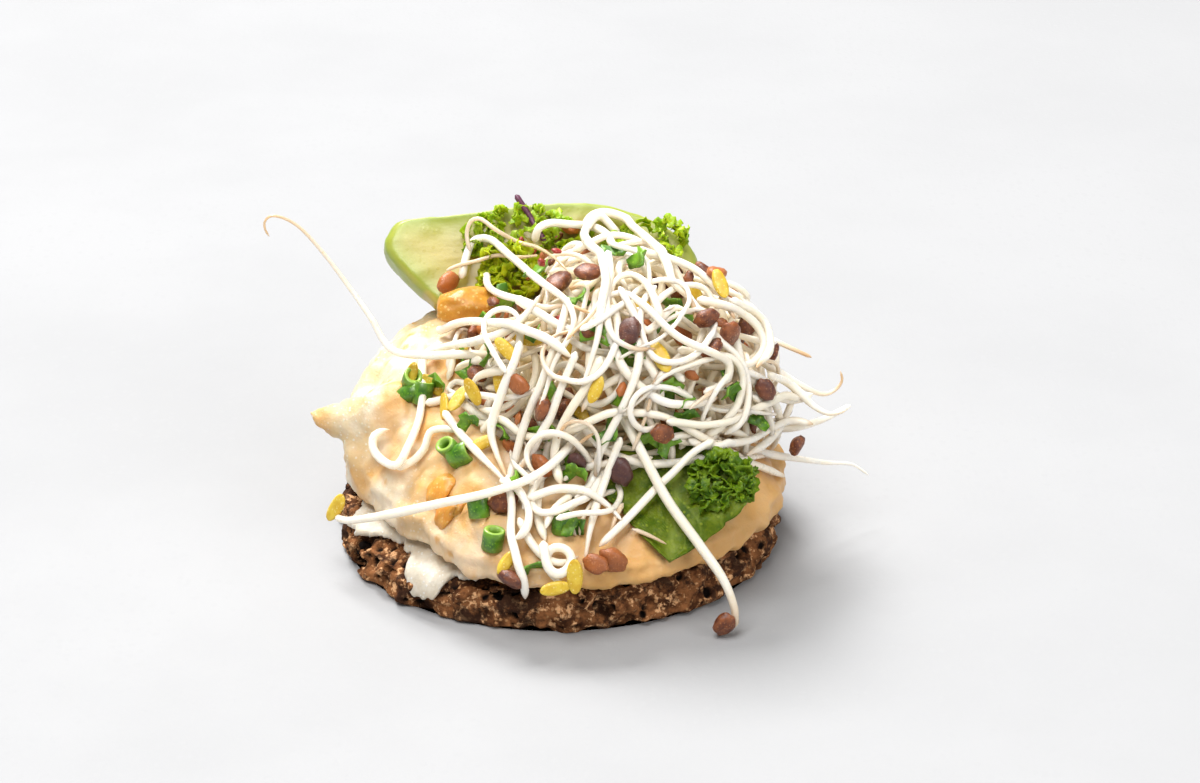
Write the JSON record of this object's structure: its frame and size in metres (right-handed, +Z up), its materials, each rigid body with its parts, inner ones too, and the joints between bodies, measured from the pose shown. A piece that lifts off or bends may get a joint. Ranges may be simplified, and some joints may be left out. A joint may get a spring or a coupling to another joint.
{
  "type": "open sandwich",
  "caption": "Small round open sandwich: rye bread, cream cheese, piped chickpea spread, avocado slice, herbs, chives and a tangled heap of seed sprouts.",
  "frame": {"origin": "centre of the bread's flat underside", "axes": "+Z up through the layers, -Y towards the side down which the sprouts hang, +X to the right of that side"},
  "size_m": [0.0677, 0.0535, 0.0367],
  "materials": {
    "bread": "coarse torn crumb",
    "cream_cheese": "soft and matt",
    "chickpea_spread": "grainy paste",
    "avocado": "moist cut flesh",
    "orange_chunk": "moist",
    "dark_herb": "waxy leaf",
    "herb": "waxy leaf",
    "sprouts": "moist and translucent"
  },
  "bodies": {
    "root": {"bread": "bread", "cream_cheese": "cream_cheese", "chickpea_spread": "chickpea_spread", "avocado": "avocado", "orange_chunk": "orange_chunk", "leaf_front": "dark_herb", "parsley_front": "dark_herb", "parsley_top": "herb", "parsley_mid": "herb", "parsley_right": "herb", "sprouts": "sprouts"}
  },
  "joints": []
}
